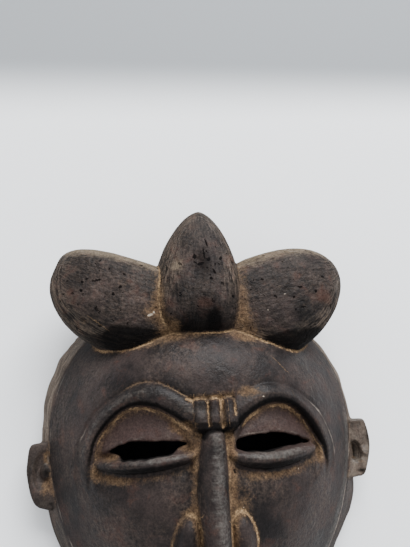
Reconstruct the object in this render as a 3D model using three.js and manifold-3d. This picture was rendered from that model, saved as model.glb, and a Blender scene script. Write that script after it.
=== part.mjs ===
import * as THREE from 'three';
import { ParametricGeometry } from 'three/addons/geometries/ParametricGeometry.js';
import { mergeVertices } from 'three/addons/utils/BufferGeometryUtils.js';
import Module from 'manifold-3d';

// A carved wooden face mask, lying on its back rim, in millimetres.
// +X is to the right of someone facing the mask, +Y runs up the face to the crest, +Z comes out of it.
// While it is carved, the line of the eyes is at y = 0 and the plane of the back rim at z = 0.

// The face: an egg-shaped outline at its worn edge, and a dome over it
const FACE = { x: 1.5, y: 12, halfWidth: 86, top: 74, topPower: 2.1, chin: 107, chinPower: 1.9 };
const EDGE_HEIGHT = 20;
const DOME = { height: 46, power: 2.8 };
const FOREHEAD = { x: 0, y: 40, width: 45, length: 24, rise: 5 };
const CHIN = { x: 1, y: -83, width: 24, length: 13, rise: 17 };

// The side wall flares out below the worn edge, more in some places around it and less in others.
// The inside is hollowed to the same shape
const RIM_FLARE = 7;
const RIM_BULGE_HEIGHT = 7;
const UNEVEN_FLARE = [
  { angle: 148, spread: 22, extra: 3 },
  { angle: 210, spread: 12, extra: 1.2 },
  { angle: 331, spread: 13, extra: 3.5 },
];
const RIM_WIDTH = 10;
const WALL = { side: 7, front: 10 };

// The three lobes of the hair, solid and round in section
const LOBE_MIDDLE_HEIGHT = 40;
const CREST = {
  x: -3.4, y: 79, halfWidth: 25.8, lean: 0.032,
  top: 51.3, topPower: 1.61, base: 26.2, basePower: 3.6, front: 33.6, back: 26, section: 2.5,
};
const SIDE_LOBE = { inner: 40, front: 24, back: 22, section: 2.8 };
const SIDE_LOBES = [
  {
    side: -1, x: 41.5, y: 82, tilt: 18.1, outer: 43.7,
    upper: 18, upperPower: 2.9, lower: 34, lowerPower: 2.1,
  },
  {
    side: 1, x: 41, y: 79, tilt: 18.2, outer: 44.1,
    upper: 25.7, upperPower: 2.25, lower: 34.3, lowerPower: 1.7,
  },
];

// The eyes: half-moon sockets under arched brow bands, each with a slit and a lower lid
const SOCKET = {
  x: 33, y: -6, outer: 25, inner: 26, top: 27, bottom: 20,
  depth: 5.5, fadeLow: -23, fadeHigh: 3, runOut: 0.6,
};
const BROW = {
  path: [
    [7, 13], [14, 17], [22, 21.4], [31, 24.6], [39.5, 23.4], [48, 18], [57.5, 6.5], [62, -4], [62.5, -14],
  ],
  halfWidth: 5.6, rise: 2.2, sink: 9,
};
const EYES = {
  left: {
    slit: [[-47, -3], [-41, 2.4], [-31, 4], [-20, 3.6], [-11, 2.2], [-16, -1], [-30, -3.4], [-41, -4.7]],
    lid: [[-54, -6], [-43, -7.2], [-29, -6.6], [-18, -4.6], [-8, -1.4]],
    lidHalfWidth: 3.2,
  },
  right: {
    slit: [[11, 1], [17, 4.6], [26, 5.2], [36, 4.8], [46, 1.6], [40, -1.6], [28, -3.4], [15, -2.6]],
    lid: [[8, -2.6], [18, -6.6], [30, -7.4], [43, -5.8], [55, -3]],
    lidHalfWidth: 3.9,
  },
};
const LID = { rise: 3.4, sink: 7 };

// The nose: a rounded ridge with a wing on each side of its tip
const NOSE = {
  x: -0.4, top: 7.5, tip: -47, halfWidthTop: 6, halfWidthTip: 7.8, riseTop: 6.5, riseTip: 15, sink: 4,
};
const WING = { x: 13, y: -40, halfWidth: 6, halfLength: 11.5, rise: 6.5 };

// The notched block between the brows: four upright bars with grooves between them
const BLOCK = { left: -9.5, right: 14, bottom: 7.2, top: 20.8, rise: 5.4, sink: 3, power: 0.35 };
const BAR_GROOVE = { places: [-2.9, 4.2, 10.4], width: 1.3, depth: 2.2 };

// The mouth: two full lips, shut
const LIPS = {
  upper: {
    path: [[-18, -68.5], [-9, -64.5], [0.5, -65.5], [10, -64.5], [19, -68.5]],
    halfWidth: 3.6, rise: 5,
  },
  lower: {
    path: [[-17, -69.5], [-8, -73.5], [0.5, -74.5], [9, -73.5], [18, -69.5]],
    halfWidth: 3.8, rise: 5,
  },
  sink: 4,
};

// The ears: plates standing off the side wall, hollowed in front, with a small knob inside the left one
const EAR = { back: 7, front: 20, bevel: 1.6 };
const EARS = [
  {
    outline: [
      [-79, 4.5], [-86, 4.4], [-91, 4], [-94, 3.1], [-95, 0], [-95.2, -6.7], [-95, -10.6],
      [-92.9, -18.4], [-91.3, -22.4], [-89, -26], [-84.7, -28], [-79, -26],
    ],
    hollow: { x: -86.3, y: -9.5, halfWidth: 5.5, halfHeight: 11, depth: 3.5 },
    knob: { x: -84.8, y: -10, radius: 3 },
  },
  {
    outline: [
      [80, 8.5], [90.2, 8.9], [97.4, 9.1], [99.2, 5], [99.8, 0.5], [99.8, -4], [99, -8.3],
      [97.6, -12.6], [95.9, -16.8], [93.6, -20.9], [89.8, -22], [80, -20],
    ],
    hollow: { x: 91, y: -7, halfWidth: 3.8, halfHeight: 6.8, depth: 5 },
  },
];

// One small hole for a tie, low in the wall at the upper left
const TIE_HOLE = { radius: 2.2, height: 9, angle: 148 };

// Facets that differ by less than this are merged
const SMALLEST_STEP = 0.03;

const wasm = await Module();
wasm.setup();

/** A closed geometry as a solid: corners welded, the slivers at its poles dropped, faces turned outwards. */
function solidOf(geometry) {
  geometry.deleteAttribute('normal');
  geometry.deleteAttribute('uv');
  const welded = mergeVertices(geometry, 1e-3);
  const corners = welded.index.array;
  const triVerts = [];
  for (let i = 0; i < corners.length; i += 3) {
    const [a, b, c] = [corners[i], corners[i + 1], corners[i + 2]];
    if (a !== b && b !== c && c !== a) triVerts.push(a, b, c);
  }
  const vertProperties = new Float32Array(welded.attributes.position.array);
  const made = (order) => new wasm.Manifold(
    new wasm.Mesh({ numProp: 3, vertProperties, triVerts: new Uint32Array(order) }),
  );
  const solid = made(triVerts);
  return solid.volume() > 0 ? solid : made(triVerts.reverse());
}

/** A closed loft: rows of points around a middle, the first and last row each drawn to one point. */
function loft(point, around, rows) {
  const place = (u, v, target) => {
    const row = Math.round(v * (rows - 1));
    const step = Math.round(u * around) % around;
    target.copy(point(row, (step / around) * 2 * Math.PI));
  };
  return solidOf(new ParametricGeometry(place, around, rows - 1));
}

/** An ellipsoid of the given half sizes, swollen in every direction until the given measure of it is one. */
function swollen(measure, halfSizes, across, down) {
  const geometry = new THREE.SphereGeometry(1, across, down).scale(...halfSizes);
  const place = geometry.attributes.position;
  const direction = new THREE.Vector3();
  for (let i = 0; i < place.count; i++) {
    direction.fromBufferAttribute(place, i);
    direction.divideScalar(measure(direction.x, direction.y, direction.z));
    place.setXYZ(i, direction.x, direction.y, direction.z);
  }
  return solidOf(geometry);
}

/** A solid of the given half sizes along each axis. */
function ellipsoid([halfX, halfY, halfZ], across, down) {
  return solidOf(new THREE.SphereGeometry(1, across, down).scale(halfX, halfY, halfZ));
}

const power = (value, exponent) => Math.abs(value) ** exponent;
const signedPower = (value, exponent) => Math.sign(value) * power(value, exponent);
const smoothstep = (low, high, value) => THREE.MathUtils.smoothstep(value, low, high);

/** How far a place lies from the middle of the face, as a share of the way to the worn edge. */
function faceSpan(x, y) {
  const [length, exponent] = y > FACE.y ? [FACE.top, FACE.topPower] : [FACE.chin, FACE.chinPower];
  const across = power((x - FACE.x) / FACE.halfWidth, exponent);
  return (across + power((y - FACE.y) / length, exponent)) ** (1 / exponent);
}

/** A soft swelling of the face around a place. */
function swelling({ x, y, width, length, rise }, px, py) {
  return rise * Math.exp(-(((px - x) / width) ** 2) - ((py - y) / length) ** 2);
}

/** The height of the face above the back rim. */
function faceHeight(x, y) {
  const span = Math.min(faceSpan(x, y), 1);
  const swellings = swelling(FOREHEAD, x, y) + swelling(CHIN, x, y);
  return EDGE_HEIGHT + DOME.height * (1 - span ** DOME.power) + swellings * (1 - span ** 4);
}

/** How much further the rim flares out at an angle around the face. */
function unevenFlare(angle) {
  const degrees = THREE.MathUtils.radToDeg(angle);
  return UNEVEN_FLARE.reduce((sum, { angle: middle, spread, extra }) => {
    const off = THREE.MathUtils.euclideanModulo(degrees - middle + 180, 360) - 180;
    return sum + extra * Math.exp(-((off / spread) ** 2));
  }, 0);
}

/** A place on a ring around the face: a share of the way to the worn edge, plus some millimetres. */
function ringPlace(angle, share, extra) {
  const direction = new THREE.Vector2(Math.cos(angle), Math.sin(angle));
  const reach = share / faceSpan(FACE.x + direction.x, FACE.y + direction.y) + extra;
  return direction.multiplyScalar(reach).add(new THREE.Vector2(FACE.x, FACE.y));
}

/** The outside of the head: flat back, flared wall, worn edge and domed face. */
function headSolid() {
  const foot = [[0, 0, 0], [1, RIM_FLARE - 1, 0], [1, RIM_FLARE, RIM_BULGE_HEIGHT]];
  const wall = [...foot, [1, RIM_FLARE / 2, 15], [1, 0, EDGE_HEIGHT]];
  const dome = [0.965, 0.91, 0.84, 0.75, 0.64, 0.51, 0.36, 0.18, 0];
  return loft((row, angle) => {
    if (row < wall.length) {
      const [share, extra, z] = wall[row];
      const flare = extra * (1 + unevenFlare(angle) / RIM_FLARE);
      const place = ringPlace(angle, share, flare);
      return new THREE.Vector3(place.x, place.y, z);
    }
    const place = ringPlace(angle, dome[row - wall.length], 0);
    return new THREE.Vector3(place.x, place.y, faceHeight(place.x, place.y));
  }, 56, wall.length + dome.length);
}

/** The inside: a smaller dome, open through the back. */
function hollowSolid() {
  const below = -5;
  const inset = RIM_FLARE - 1 - RIM_WIDTH;
  const mouth = [[0, 0, below], [1, inset, below], [1, inset, 1]];
  const dome = [1, 0.93, 0.83, 0.7, 0.54, 0.36, 0.18, 0];
  return loft((row, angle) => {
    if (row < mouth.length) {
      const [share, extra, z] = mouth[row];
      const place = ringPlace(angle, share, extra);
      return new THREE.Vector3(place.x, place.y, z);
    }
    const share = dome[row - mouth.length];
    const place = ringPlace(angle, share, -WALL.side * share);
    const height = EDGE_HEIGHT + DOME.height * (1 - share ** DOME.power) - WALL.front;
    return new THREE.Vector3(place.x, place.y, height);
  }, 36, mouth.length + dome.length);
}

/** A raised band that follows a path over the face. Sizes are given at each share of its length. */
function band({ path, halfWidth, rise, sink, profile = 0.8 }, around = 10, along = 18) {
  const points = path.map(([x, y]) => new THREE.Vector3(x, y, 0));
  const curve = new THREE.CatmullRomCurve3(points, false, 'centripetal');
  return loft((row, angle) => {
    const share = THREE.MathUtils.clamp((row - 1) / along, 0, 1);
    const middle = curve.getPointAt(share);
    const heading = curve.getTangentAt(share);
    const size = row === 0 || row === along + 2 ? 0 : 1;
    const offset = size * halfWidth(share) * signedPower(Math.cos(angle), profile);
    const x = middle.x - heading.y * offset;
    const y = middle.y + heading.x * offset;
    const lift = size * Math.sin(angle);
    const above = (lift > 0 ? rise(share) : sink) * signedPower(lift, profile);
    return new THREE.Vector3(x, y, faceHeight(x, y) + above);
  }, around, along + 3);
}

/** A size that holds along a band and shrinks towards both ends. */
const tapered = (size, end) => (share) => size * (end + (1 - end) * Math.sin(Math.PI * share) ** 0.5);

/** The measure of a rounded form: one superellipse in plan and another through its depth. */
function lobe({ width, length, exponent, depth, section }) {
  const plan = (power(width, exponent) + power(length, exponent)) ** (1 / exponent);
  return (power(plan, section) + power(depth, section)) ** (1 / section);
}

/** The middle lobe: an upright egg, pointed above. */
function crestSolid() {
  const measure = (x, y, z) => lobe({
    width: (x - CREST.lean * Math.max(y, 0)) / CREST.halfWidth,
    length: y / (y > 0 ? CREST.top : CREST.base),
    exponent: y > 0 ? CREST.topPower : CREST.basePower,
    depth: z / (z > 0 ? CREST.front : CREST.back),
    section: CREST.section,
  });
  const halfSizes = [CREST.halfWidth, CREST.top, CREST.front];
  return swollen(measure, halfSizes, 26, 18).translate([CREST.x, CREST.y, LOBE_MIDDLE_HEIGHT]);
}

/** A side lobe: a thick rounded paddle, its outer end tilted up, its inner end buried in the middle lobe. */
function sideLobeSolid({ side, x, y, tilt, outer, upper, upperPower, lower, lowerPower }) {
  const measure = (px, py, pz) => lobe({
    width: px / (side * px > 0 ? outer : SIDE_LOBE.inner),
    length: py / (py > 0 ? upper : lower),
    exponent: py > 0 ? upperPower : lowerPower,
    depth: pz / (pz > 0 ? SIDE_LOBE.front : SIDE_LOBE.back),
    section: SIDE_LOBE.section,
  });
  const halfSizes = [outer, lower, SIDE_LOBE.front];
  const paddle = swollen(measure, halfSizes, 32, 20);
  return paddle.rotate([0, 0, side * tilt]).translate([side * x, y, LOBE_MIDDLE_HEIGHT]);
}

/** The block of wood taken out of an eye socket, deepest under the brow and fading out below the eye. */
function socketCutter(side) {
  const clearance = 9;
  const shares = [0, 1, 1, 0.85, 0.65, 0.4, 0.2, 0];
  return loft((row, angle) => {
    const [dx, dy] = [Math.cos(angle), Math.sin(angle)];
    const halfWidth = side * dx > 0 ? SOCKET.outer : SOCKET.inner;
    const reach = shares[row] / Math.hypot(dx / halfWidth, dy / (dy > 0 ? SOCKET.top : SOCKET.bottom));
    const x = side * SOCKET.x + dx * reach;
    const y = SOCKET.y + dy * reach;
    const deepened = smoothstep(SOCKET.fadeLow, SOCKET.fadeHigh, y);
    const floor = SOCKET.runOut - (SOCKET.depth + SOCKET.runOut) * deepened;
    return new THREE.Vector3(x, y, faceHeight(x, y) + (row > 1 ? floor : clearance));
  }, 32, shares.length);
}

/** The slit of an eye, cut right through the face. */
function slitCutter(outline) {
  const curve = new THREE.CatmullRomCurve3(outline.map(([x, y]) => new THREE.Vector3(x, y, 0)), true);
  const corners = curve.getPoints(26).slice(0, -1);
  const shape = new THREE.Shape(corners.map(({ x, y }) => new THREE.Vector2(x, y)));
  const [start, depth] = [25, 70];
  const geometry = new THREE.ExtrudeGeometry(shape, { depth, bevelEnabled: false });
  return solidOf(geometry.translate(0, 0, start));
}

/** The nose ridge, narrow at the root and fuller at its rounded tip. */
function noseSolid() {
  const path = [[NOSE.x, NOSE.top], [NOSE.x, NOSE.tip / 2], [NOSE.x, NOSE.tip]];
  const halfWidth = (share) => {
    const width = THREE.MathUtils.lerp(NOSE.halfWidthTop, NOSE.halfWidthTip, share);
    return share > 0.9 ? width * 0.8 : width;
  };
  const rise = (share) => {
    const height = THREE.MathUtils.lerp(NOSE.riseTop, NOSE.riseTip, share ** 1.6);
    return share > 0.9 ? height * (1 - 4.5 * (share - 0.9)) : height;
  };
  return band({ path, halfWidth, rise, sink: NOSE.sink, profile: 0.9 }, 14, 16);
}

/** One wing of the nose. */
function wingSolid(side) {
  const x = NOSE.x + side * WING.x;
  const egg = ellipsoid([WING.halfWidth, WING.halfLength, WING.rise], 12, 8);
  return egg.translate([x, WING.y, faceHeight(x, WING.y)]);
}

/** The block between the brows, with the grooves between its bars. */
function blockSolid() {
  const middle = (BLOCK.left + BLOCK.right) / 2;
  const halfWidth = (BLOCK.right - BLOCK.left) / 2;
  const path = [[middle, BLOCK.top], [middle, (BLOCK.top + BLOCK.bottom) / 2], [middle, BLOCK.bottom]];
  const rise = (share) => BLOCK.rise * (0.55 + 0.45 * smoothstep(0, 0.6, share));
  let block = band({ path, halfWidth: () => halfWidth, rise, sink: BLOCK.sink, profile: BLOCK.power }, 16, 6);
  for (const x of BAR_GROOVE.places) {
    const front = faceHeight(x, BLOCK.bottom) + BLOCK.rise;
    const length = 2 * (BLOCK.top - BLOCK.bottom);
    const groove = new THREE.BoxGeometry(BAR_GROOVE.width, length, 2 * BAR_GROOVE.depth);
    groove.translate(x, (BLOCK.top + BLOCK.bottom) / 2, front);
    block = block.subtract(solidOf(groove));
  }
  return block;
}

/** One ear: the plate, its hollow front and the knob in the hollow. */
function earSolid({ outline, hollow, knob }) {
  const shape = new THREE.Shape(outline.map(([x, y]) => new THREE.Vector2(x, y)));
  const geometry = new THREE.ExtrudeGeometry(shape, {
    depth: EAR.front - EAR.back - 2 * EAR.bevel,
    bevelThickness: EAR.bevel,
    bevelSize: EAR.bevel,
    bevelOffset: -EAR.bevel,
    bevelSegments: 1,
  });
  let ear = solidOf(geometry.translate(0, 0, EAR.back + EAR.bevel));
  const cut = ellipsoid([hollow.halfWidth, hollow.halfHeight, hollow.depth], 14, 8);
  ear = ear.subtract(cut.translate([hollow.x, hollow.y, EAR.front]));
  if (!knob) return ear;
  const ball = ellipsoid([knob.radius, knob.radius * 1.3, knob.radius], 10, 6);
  return ear.add(ball.translate([knob.x, knob.y, EAR.front - hollow.depth]));
}

/** The tie hole, square to the wall. */
function tieHoleCutter() {
  const angle = THREE.MathUtils.degToRad(TIE_HOLE.angle);
  const place = ringPlace(angle, 1, 0);
  const length = 50;
  const geometry = new THREE.CylinderGeometry(TIE_HOLE.radius, TIE_HOLE.radius, length, 12);
  geometry.rotateZ(angle - Math.PI / 2);
  geometry.translate(place.x, place.y, TIE_HOLE.height);
  return solidOf(geometry);
}

/** The whole mask, carved from one block. */
function maskSolid() {
  const added = [crestSolid(), noseSolid(), blockSolid()];
  let mask = headSolid();
  for (const side of [-1, 1]) {
    mask = mask.subtract(socketCutter(side));
    added.push(wingSolid(side));
    const path = BROW.path.map(([x, y]) => [side * x, y]);
    const fading = (size) => (share) => size * (1 - 0.45 * smoothstep(0.75, 1, share));
    const sizes = { halfWidth: fading(BROW.halfWidth), rise: fading(BROW.rise), sink: BROW.sink };
    added.push(band({ path, ...sizes }, 8, 18));
  }
  for (const { lid, lidHalfWidth } of Object.values(EYES)) {
    const sizes = { halfWidth: tapered(lidHalfWidth, 0.3), rise: tapered(LID.rise, 0.3), sink: LID.sink };
    added.push(band({ path: lid, ...sizes }, 8, 12));
  }
  for (const { path, halfWidth, rise } of [LIPS.upper, LIPS.lower]) {
    const sizes = { halfWidth: tapered(halfWidth, 0.2), rise: tapered(rise, 0.1), sink: LIPS.sink };
    added.push(band({ path, ...sizes }, 8, 10));
  }
  added.push(...SIDE_LOBES.map(sideLobeSolid), ...EARS.map(earSolid));
  for (const piece of added) mask = mask.add(piece);
  mask = mask.subtract(hollowSolid()).subtract(tieHoleCutter());
  for (const { slit } of Object.values(EYES)) mask = mask.subtract(slitCutter(slit));
  return mask;
}

/** The geometry of a finished solid. */
function geometryOf(solid) {
  const { vertProperties, triVerts } = solid.getMesh();
  const geometry = new THREE.BufferGeometry();
  geometry.setAttribute('position', new THREE.BufferAttribute(new Float32Array(vertProperties), 3));
  geometry.setIndex(new THREE.BufferAttribute(new Uint32Array(triVerts), 1));
  geometry.computeVertexNormals();
  return geometry;
}

/** A solid without the slivers that its joins leave: small facets merged and shut-in pockets filled. */
function cleaned(solid) {
  const shells = solidOf(geometryOf(solid.asOriginal().simplify(SMALLEST_STEP))).decompose();
  return shells.sort((a, b) => b.volume() - a.volume())[0];
}

const wood = new THREE.MeshStandardMaterial({ color: 0x4a403c, roughness: 0.55, metalness: 0 });
const mask = new THREE.Mesh(geometryOf(cleaned(maskSolid())), wood);
mask.name = 'mask';

// The origin is under the middle of the mask's outline, on the plane of the back rim
mask.geometry.computeBoundingBox();
const { min, max } = mask.geometry.boundingBox;
mask.position.set(-(min.x + max.x) / 2, -(min.y + max.y) / 2, -min.z);

const group = new THREE.Group();
group.add(mask);

export default group;
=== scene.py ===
"""A dark carved wooden face mask with a three-lobed crest, lying on its back rim on a pale floor."""
import functools
import math
from types import SimpleNamespace as Part

import bpy
import numpy as np
from mathutils import Matrix, Vector


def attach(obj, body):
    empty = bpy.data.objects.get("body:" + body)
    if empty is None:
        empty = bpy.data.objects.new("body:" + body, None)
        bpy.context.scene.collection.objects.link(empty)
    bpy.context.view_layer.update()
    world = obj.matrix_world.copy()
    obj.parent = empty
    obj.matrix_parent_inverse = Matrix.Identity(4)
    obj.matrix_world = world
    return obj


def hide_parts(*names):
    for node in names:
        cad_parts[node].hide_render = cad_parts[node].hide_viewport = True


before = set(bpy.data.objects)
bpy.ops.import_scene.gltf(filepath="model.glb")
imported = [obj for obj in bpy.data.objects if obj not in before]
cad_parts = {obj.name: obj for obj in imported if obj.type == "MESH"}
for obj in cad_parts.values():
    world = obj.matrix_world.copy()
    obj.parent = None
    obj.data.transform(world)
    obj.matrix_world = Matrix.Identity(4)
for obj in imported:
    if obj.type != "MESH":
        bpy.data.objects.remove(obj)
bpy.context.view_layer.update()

MM = 0.001

# The carving is worked out in millimetres in the part's own carving frame: the line of the eyes at y = 0
# and the plane of the back rim at z = 0. The record's frame has its origin here in it.
RECORD_ORIGIN = np.array([2.3, 14.04, 0.0])

# The photograph's camera, found from pairs of features on both sides of the face
PHOTO_SIZE = (410, 547)
FOCAL_PIXELS = 411
CAMERA_PLACE = (-27.1, 11.05, 269.95)
CAMERA_RIGHT = (0.9926, -0.0425, 0.1139)
CAMERA_UP = (0.0009, 0.9396, 0.3424)

# The grid that the mesh is made on, and how many triangles are left once its plain parts are thinned out
MESH_STEP = 0.86
MESH_BOX = Part(low=(-99.0, -107.0, -2.1), high=(101.0, 139.0, 79.0))
TRIANGLES = 190000
# The part of the face that keeps its full mesh, and the fine grid that the face is carved on
FEATURES = Part(half_width=71, low=-47, high=34, depth=9)
FACE_MAP = Part(left=-101, right=103, low=-109, high=100, step=0.36)

# The head
FACE = Part(x=1.5, y=12, half_width=86, top=74, top_power=2.1, chin=107, chin_power=1.9)
EDGE_HEIGHT = 20
DOME = Part(height=46, power=2.8)
# The forehead and the chin stand out from the dome. Each has its middle, its reach each way and its height.
SWELLINGS = [((0, 40), (45, 24), 5), ((1, -83), (24, 13), 17)]
RIM_FLARE = 7
# How far the side wall stands out at each height, and where around the head it stands out more
WALL_PROFILE = [(0, 6), (3, 6.8), (7, 7), (11, 5.8), (15, 3.7), (18, 1.5), (20, 0), (24, -0.8)]
UNEVEN_FLARE = [
    Part(angle=148, spread=22, extra=3),
    Part(angle=210, spread=12, extra=1.2),
    Part(angle=331, spread=13, extra=3.5),
]
RIM_WIDTH = 10
WALL = Part(side=7, front=10)

# How softly the parts run into each other
JOINTS = Part(edge=1.2, lobes=1.8, hair=1.8, ears=1.6, hollow=2.5, slits=0.9, rim=0.8)

# The hair: an upright crest between two side lobes
LOBE_MIDDLE_HEIGHT = 40
CREST = Part(x=-3.4, y=79, half_width=25.8, lean=0.032, top=52.2, top_power=1.61, base=26.2,
             base_power=3.2, front=33.6, back=26, section=2.5)
SIDE_LOBE = Part(inner=40, front=24, back=22, section=2.8)
LEFT_LOBE = Part(side=-1, x=41.5, y=82, tilt=18.1, outer=43.7, upper=18, upper_power=2.9, lower=34,
                 lower_power=2.1)
RIGHT_LOBE = Part(side=1, x=41, y=79, tilt=18.2, outer=44.1, upper=25.7, upper_power=2.25, lower=34.3,
                  lower_power=1.7)
CREST_TIP = Part(y=129.7, rounding=4)
# How far in from its outline the knife strokes show on the crest and on each side lobe
LOBE_RIMS = (12, 9, 9)

# The brows, each the strip between its lower and its upper edge, from the block outwards
BROWS = [
    Part(lower=[(-7, 5.5), (-8.3, 6.9), (-12, 8.7), (-17, 12.1), (-22.1, 15.4), (-27.1, 17.6),
                (-33.4, 18.8), (-39.3, 18.3), (-45.1, 15.3), (-50.6, 10.2), (-54.6, 4.3), (-56.3, -3),
                (-57.3, -13), (-57, -20)],
         upper=[(-5, 20.4), (-8.2, 21.2), (-11.5, 22.3), (-14.9, 24.3), (-19.3, 26.9), (-23.7, 29.1),
                (-28.3, 30.2), (-33.4, 30.4), (-40, 28.3), (-46, 24.8), (-50.9, 21.9), (-56.3, 17.4),
                (-60, 12.5), (-63.2, 6.5), (-66, 0.6), (-67.5, -6), (-66.5, -14), (-64, -20)], groove=0.8,
         fall=1.7),
    Part(lower=[(10.5, 6), (13.6, 8.5), (17.9, 12.5), (23.9, 15.9), (30, 17.9), (35.2, 17.9),
                (40.5, 16.4), (45.6, 12.6), (50.6, 6.9), (54.6, 1.2), (57.6, -4.5), (58.8, -10),
                (59, -18)],
         upper=[(8, 21.4), (13.5, 22.8), (18.6, 25.8), (25.1, 27.9), (30.6, 28.2), (38.1, 26.9),
                (44.6, 24.2), (49.4, 21), (54.8, 17.2), (59.8, 12.1), (63.3, 6.4), (66.6, -0.6),
                (67.4, -6), (67, -12), (65, -18)], groove=0.3, fall=1.15),
]
BROW = Part(rise=2.6, inset=1.0, crown=0.46, undercut=2.4)

# The eyes: sockets under the brows, slits with dusty recesses at their ends, and rolled lower lids
SOCKET = Part(x=33, y=-6, half_width=25, top=27, bottom=20, depth=5.5, fade_low=-23, fade_high=3,
              lid_bulge=2.4)
SLITS = [
    [(-50, -0.6), (-47.3, 0.6), (-44.4, 1.9), (-39.9, 3.4), (-36, 3.9), (-31.6, 3.5), (-27.1, 3.1),
     (-22.8, 3.6), (-17.3, 3.2), (-11, 2.1), (-13.6, 1.2), (-16.4, -0.4), (-19.8, -2.2), (-25, -3.4),
     (-30.4, -4.0), (-35.8, -4.2), (-41.3, -4.8), (-42.8, -4), (-44.2, -2.9), (-45.6, -1.9),
     (-47.6, -1.1)],
    [(11.2, 0.4), (12, 2.5), (16.5, 3.7), (22.2, 4.5), (28.1, 4.9), (34.1, 4.8), (40.4, 3.7), (45.6, 1.8),
     (51.5, -0.5), (44.5, -1.1), (39.2, -1.6), (32.8, -2.5), (26.9, -3.1), (21.2, -3.1), (15.7, -2.7),
     (12, -1.6)],
]
# Each recess has its middle, its reach each way, its depth and its dust
SLIT_RECESSES = [
    ((-48, -2.9), (4.8, 2), 1.9, 1.4), ((-14.5, 0.8), (4.4, 1.8), 1.8, 1.1),
    ((47, 0.2), (3.6, 1.3), 2.2, 0.9),
]
LIDS = [
    Part(path=[(-53.4, -6.0), (-50, -6.5), (-41.2, -6.8), (-33, -6.4), (-25.1, -5.7), (-19.7, -5.0),
               (-14.4, -4.1), (-9.6, -3.1)], half_width=3.3),
    Part(path=[(8.7, -3.9), (10.9, -4.7), (15.1, -5.6), (20.6, -6.4), (26.2, -6.7), (32, -6.5),
               (38.2, -5.7), (44.8, -4.7), (50.8, -3.5)], half_width=4.0),
]
LID = Part(rise=3.6, root=3)

# The nose, with its two sides at several heights, its wings, the notched block above it, and the lips
NOSE = Part(top=7.6, tip=-47, rise_top=6.5, rise_tip=15)
NOSE_SIDES = [
    (-48, -6.6, 7.2), (-37, -6.6, 6.8), (-28, -7.6, 6.3), (-19, -8.4, 5.9), (-10, -7.8, 6.1),
    (-1, -6.6, 5.6), (6, -5.4, 4.9), (10, -5, 4.6),
]
WINGS = [
    Part(x=-13.2, y=-40, half_width=6, half_length=12, rise=6.0),
    Part(x=13.0, y=-40, half_width=6, half_length=12, rise=6.0),
]
BLOCK = Part(left=-9.6, right=11.2, bottom=7.4, top=20.8, rise=5.4)
BAR_GROOVES = [
    Part(x=-9.4, half_width=0.12, low=10, depth=0.8),
    Part(x=-2.3, half_width=0.3, low=8.5, depth=2.0),
    Part(x=4.2, half_width=1.0, low=8, depth=2.4),
    Part(x=10.4, half_width=0.35, low=13, depth=1.6),
]
BAR_BUMPS = 0.45
LIPS = [
    Part(path=[(-18, -68.5), (-9, -64.5), (0.5, -65.5), (10, -64.5), (19, -68.5)], half_width=3.6),
    Part(path=[(-17, -69.5), (-8, -73.5), (0.5, -74.5), (9, -73.5), (18, -69.5)], half_width=3.8),
]
LIP_RISE = 5

# The ears, plates that stand off the side wall behind the worn edge
EAR_HEIGHT = (7, 20)
EARS = [
    Part(outline=[(-79, 4.5), (-86, 4.4), (-91, 4), (-94, 3.1), (-95, 0), (-95.2, -6.7), (-95, -10.6),
                  (-92.9, -18.4), (-91.3, -22.4), (-89, -26), (-84.7, -28), (-79, -26)],
         hollow=Part(x=-86.3, y=-9.5, half_width=5.2, half_height=10, depth=3.5), ridges=0.25,
         knob=Part(x=-84.8, y=-10, radius=3.2)),
    Part(outline=[(80, 8.5), (90.2, 8.9), (97.4, 9.1), (99.2, 5), (99.8, 0.5), (99.8, -4), (99, -8.3),
                  (97.6, -12.6), (95.9, -16.8), (93.6, -20.9), (89.8, -22), (80, -20)],
         hollow=Part(x=90.2, y=-8.8, half_width=3.6, half_height=6, depth=6.5), ridges=1.1, knob=None),
]
TIE_HOLE = Part(radius=2.2, height=9, angle=148)

# Soft areas of dust, wear and painted highlight, soot and painted shade, and reddish wood, each with its
# place, its reach each way and its strength
FACE_DUST = [
    ((-14, 8.6), (6, 3), 1.1), ((-11.5, 2.5), (3.4, 7), 0.95), ((9, 1), (2.8, 8), 0.85),
    ((8.6, -16), (2.4, 7), 0.5), ((12, -25), (5, 4.5), 0.55), ((-11.5, -26.5), (4.5, 2), 0.6),
    ((16, 24.3), (6.5, 3.4), 0.85), ((23, 23.5), (7, 4), 0.4), ((41.9, 22.4), (1.4, 2.4), 0.6),
    ((-50, -11.5), (9, 3), 0.55), ((-45, -14), (9, 2.4), 0.4), ((52, -9), (7, 2.6), 0.5),
    ((40, -13), (12, 3), 0.38), ((15.5, -18), (6, 6.5), 0.5), ((24, -14), (9, 3), 0.32),
    ((38, 52), (9, 3), 0.6), ((20, 52), (9, 3.5), 0.6), ((-12, 54), (14, 3), 0.5),
    ((-38, 50), (20, 3), 0.55),
]
EAR_DUST = [((-84.5, -3), (4, 3.4), 0.9), ((-84, -18), (4, 5), 1.1), ((92.5, -14), (3, 2.5), 0.7)]
EAR_SOOT_AND_SHADE = [
    ((-84.4, -10.5), (3.2, 4.4), 0.85), ((90, -8.8), (2.4, 5), 1.4), ((-81, -25.5), (3, 1.5), 0.9),
    ((87, -2), (2, 11), 0.7), ((-93, -8), (2.4, 12), 0.5), ((98.6, 0), (1, 12), 0.9),
    ((93, -19), (4, 1.4), 0.9),
]
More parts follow.
